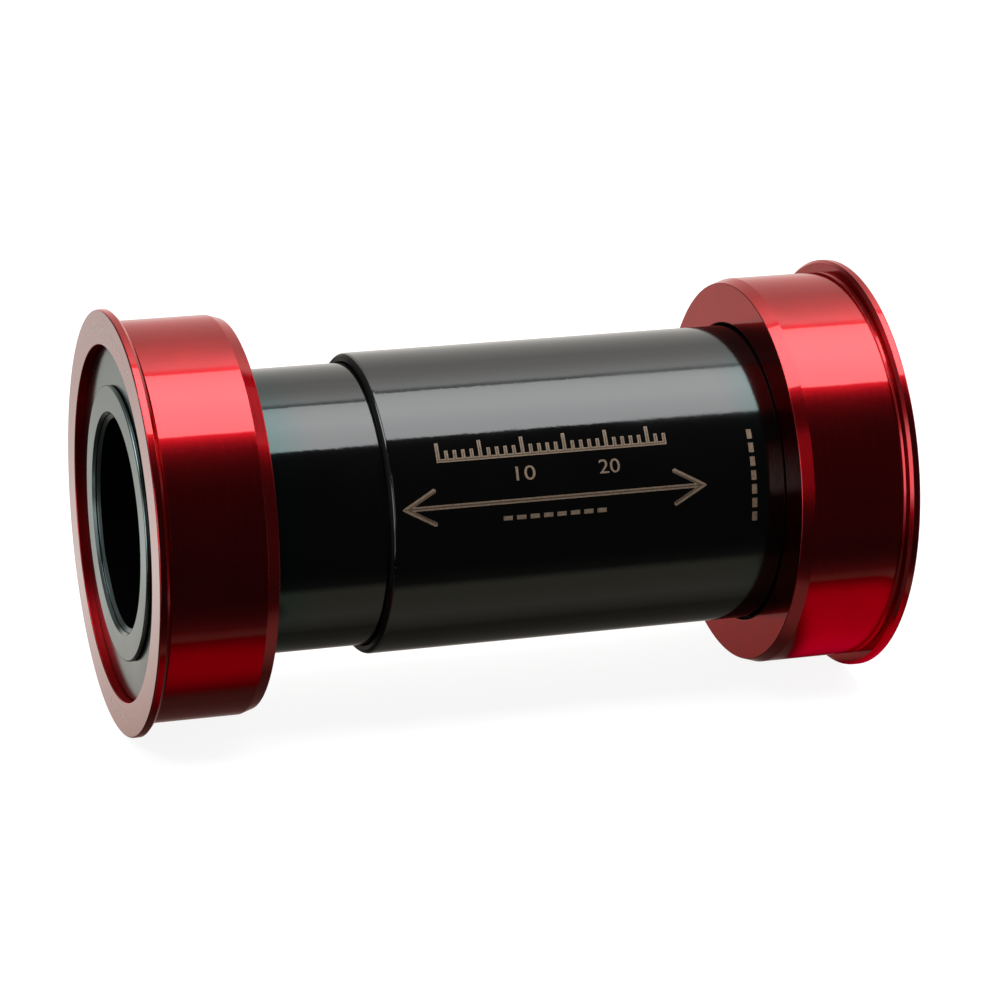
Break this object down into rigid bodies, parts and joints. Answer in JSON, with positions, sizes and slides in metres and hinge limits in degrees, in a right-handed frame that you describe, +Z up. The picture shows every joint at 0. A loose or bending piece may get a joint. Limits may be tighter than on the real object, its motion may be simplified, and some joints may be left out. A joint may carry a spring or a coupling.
{
  "type": "bottom bracket",
  "caption": "Press-fit bicycle bottom bracket: two flanged red cups with sealed bearings, joined by telescoping black sleeves that set the shell width.",
  "frame": {"origin": "middle of the bracket on the spindle's axis, halfway between the flanges' outer faces", "axes": "+Y along the spindle's axis to the non-drive side, +Z up, +X towards the front of the bicycle"},
  "size_m": [0.0489, 0.0892, 0.0488],
  "materials": {
    "red_anodised": "gloss anodised",
    "sleeve_black": "semi-gloss anodised, fine turned",
    "cover_black": "satin anodised",
    "bearing_steel": "ground",
    "polished_balls": "polished",
    "cage_nylon": "moulded",
    "seal_rubber": "smooth"
  },
  "bodies": {
    "drive_side": {"drive_cup": "red_anodised", "drive_dust_cover": "cover_black", "drive_bearing_outer_race": "bearing_steel", "drive_bearing_outboard_seal": "seal_rubber", "drive_bearing_inboard_seal": "seal_rubber", "drive_sleeve_o_ring": "seal_rubber"},
    "drive_rotor": {"drive_spindle_bush": "cover_black", "drive_bearing_inner_race": "bearing_steel"},
    "drive_ball_set": {"drive_bearing_balls": "polished_balls", "drive_bearing_cage": "cage_nylon"},
    "nondrive_side": {"nondrive_cup": "red_anodised", "nondrive_dust_cover": "cover_black", "nondrive_bearing_outer_race": "bearing_steel", "nondrive_bearing_outboard_seal": "seal_rubber", "nondrive_bearing_inboard_seal": "seal_rubber", "nondrive_sleeve_o_ring": "seal_rubber"},
    "nondrive_rotor": {"nondrive_spindle_bush": "cover_black", "nondrive_bearing_inner_race": "bearing_steel"},
    "nondrive_ball_set": {"nondrive_bearing_balls": "polished_balls", "nondrive_bearing_cage": "cage_nylon"},
    "outer_sleeve": {"outer_sleeve": "sleeve_black"},
    "inner_sleeve": {"inner_sleeve": "sleeve_black", "telescope_o_ring": "seal_rubber"}
  },
  "joints": [
    {"name": "outer_sleeve_turn", "type": "hinge", "parent": "nondrive_side", "child": "outer_sleeve", "pos_m": [0, 0.03235, 0], "axis": [0, 1, 0], "continuous": true},
    {"name": "width_slide", "type": "slide", "parent": "outer_sleeve", "child": "inner_sleeve", "axis": [0, -1, 0], "range_m": [-0.0079, 0.0051]},
    {"name": "drive_side_turn", "type": "hinge", "parent": "inner_sleeve", "child": "drive_side", "pos_m": [0, -0.03235, 0], "axis": [0, 1, 0], "continuous": true},
    {"name": "drive_spindle_turn", "type": "hinge", "parent": "drive_side", "child": "drive_rotor", "pos_m": [0, -0.03885, 0], "axis": [0, 1, 0], "continuous": true},
    {"name": "drive_cage_turn", "type": "hinge", "parent": "drive_side", "child": "drive_ball_set", "pos_m": [0, -0.03885, 0], "axis": [0, 1, 0], "continuous": true},
    {"name": "nondrive_spindle_turn", "type": "hinge", "parent": "nondrive_side", "child": "nondrive_rotor", "pos_m": [0, 0.03885, 0], "axis": [0, 1, 0], "continuous": true},
    {"name": "nondrive_cage_turn", "type": "hinge", "parent": "nondrive_side", "child": "nondrive_ball_set", "pos_m": [0, 0.03885, 0], "axis": [0, 1, 0], "continuous": true}
  ],
  "couplings": [
    {"joint": "drive_cage_turn", "follows": "drive_spindle_turn", "ratio": 0.4488},
    {"joint": "nondrive_cage_turn", "follows": "nondrive_spindle_turn", "ratio": 0.4488}
  ]
}
